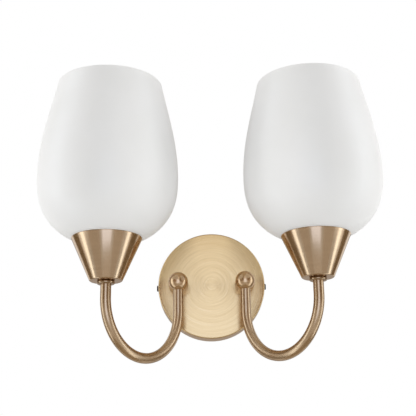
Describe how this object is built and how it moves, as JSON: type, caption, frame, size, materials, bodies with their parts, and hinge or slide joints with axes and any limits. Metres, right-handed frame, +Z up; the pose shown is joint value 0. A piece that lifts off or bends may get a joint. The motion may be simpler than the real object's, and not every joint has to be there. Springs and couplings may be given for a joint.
{
  "type": "wall sconce",
  "caption": "Wall light with a round brushed brass canopy, bent tube arms, conical cups and open opal glass shades.",
  "frame": {"origin": "centre of the canopy's back, on the wall's face", "axes": "+Z up, +X to the right as seen from the room, +Y into the wall"},
  "size_m": [0.3304, 0.1826, 0.2669],
  "materials": {
    "brass_satin": "satin, circular brushing",
    "bronze_satin": "satin, fine brushing",
    "screw_dark": "dark bronze",
    "zinc_steel": "zinc plated",
    "contact_brass": "machined",
    "holder_plastic": "moulded white",
    "holder_ceramic": "glazed white",
    "block_plastic": "moulded natural",
    "lead_sheath": "white sheath",
    "core_brown": "brown insulation",
    "core_blue": "blue insulation",
    "opal_glass": "satin opal",
    "bulb_glass": "frosted",
    "bulb_cap_metal": "bright",
    "bulb_insulator": "black glass"
  },
  "bodies": {
    "fixture": {"canopy": "brass_satin", "wall_bracket": "zinc_steel", "earth_screw": "contact_brass", "earth_washer": "contact_brass", "terminal_block": "block_plastic", "terminal_sleeves": "contact_brass", "terminal_clamp_screws": "zinc_steel", "terminal_block_screw": "zinc_steel", "live_cores": "core_brown", "neutral_cores": "core_blue", "left_lead_tail": "lead_sheath", "right_lead_tail": "lead_sheath"},
    "left_rim_screw": {"left_rim_screw": "screw_dark"},
    "left_arm": {"left_collar": "bronze_satin", "left_ball_fitting": "bronze_satin", "left_nipple": "zinc_steel", "left_lock_washer": "zinc_steel", "left_nipple_nut": "zinc_steel", "left_arm_tube": "bronze_satin", "left_arm_lead": "lead_sheath", "left_ring": "bronze_satin", "left_cup": "bronze_satin", "left_cup_nipple": "zinc_steel", "left_lampholder_cap": "holder_plastic", "left_lampholder_insert": "holder_ceramic", "left_lampholder_shell": "holder_plastic", "left_lampholder_sleeve": "contact_brass", "left_centre_contact": "contact_brass", "left_lamp_cores": "core_brown", "left_shade": "opal_glass", "left_shade_ring": "holder_plastic"},
    "left_bulb": {"left_bulb_cap": "bulb_cap_metal", "left_bulb_tip": "bulb_insulator", "left_bulb_envelope": "bulb_glass"},
    "right_rim_screw": {"right_rim_screw": "screw_dark"},
    "right_arm": {"right_collar": "bronze_satin", "right_ball_fitting": "bronze_satin", "right_nipple": "zinc_steel", "right_lock_washer": "zinc_steel", "right_nipple_nut": "zinc_steel", "right_arm_tube": "bronze_satin", "right_arm_lead": "lead_sheath", "right_ring": "bronze_satin", "right_cup": "bronze_satin", "right_cup_nipple": "zinc_steel", "right_lampholder_cap": "holder_plastic", "right_lampholder_insert": "holder_ceramic", "right_lampholder_shell": "holder_plastic", "right_lampholder_sleeve": "contact_brass", "right_centre_contact": "contact_brass", "right_lamp_cores": "core_brown", "right_shade": "opal_glass", "right_shade_ring": "holder_plastic"},
    "right_bulb": {"right_bulb_cap": "bulb_cap_metal", "right_bulb_tip": "bulb_insulator", "right_bulb_envelope": "bulb_glass"}
  },
  "joints": [
    {"name": "left_arm_swivel", "type": "hinge", "parent": "fixture", "child": "left_arm", "pos_m": [-0.034, -0.038, 0], "axis": [0, 1, 0], "range_deg": [-10, 10]},
    {"name": "left_bulb_unscrew", "type": "slide", "parent": "left_arm", "child": "left_bulb", "axis": [0, 0, 1], "range_m": [0, 0.024]},
    {"name": "left_rim_screw_unscrew", "type": "slide", "parent": "fixture", "child": "left_rim_screw", "axis": [-1, 0, 0], "range_m": [0, 0.008]},
    {"name": "right_arm_swivel", "type": "hinge", "parent": "fixture", "child": "right_arm", "pos_m": [0.034, -0.038, 0], "axis": [0, 1, 0], "range_deg": [-10, 10]},
    {"name": "right_bulb_unscrew", "type": "slide", "parent": "right_arm", "child": "right_bulb", "axis": [0, 0, 1], "range_m": [0, 0.024]},
    {"name": "right_rim_screw_unscrew", "type": "slide", "parent": "fixture", "child": "right_rim_screw", "axis": [1, 0, 0], "range_m": [0, 0.008]}
  ]
}
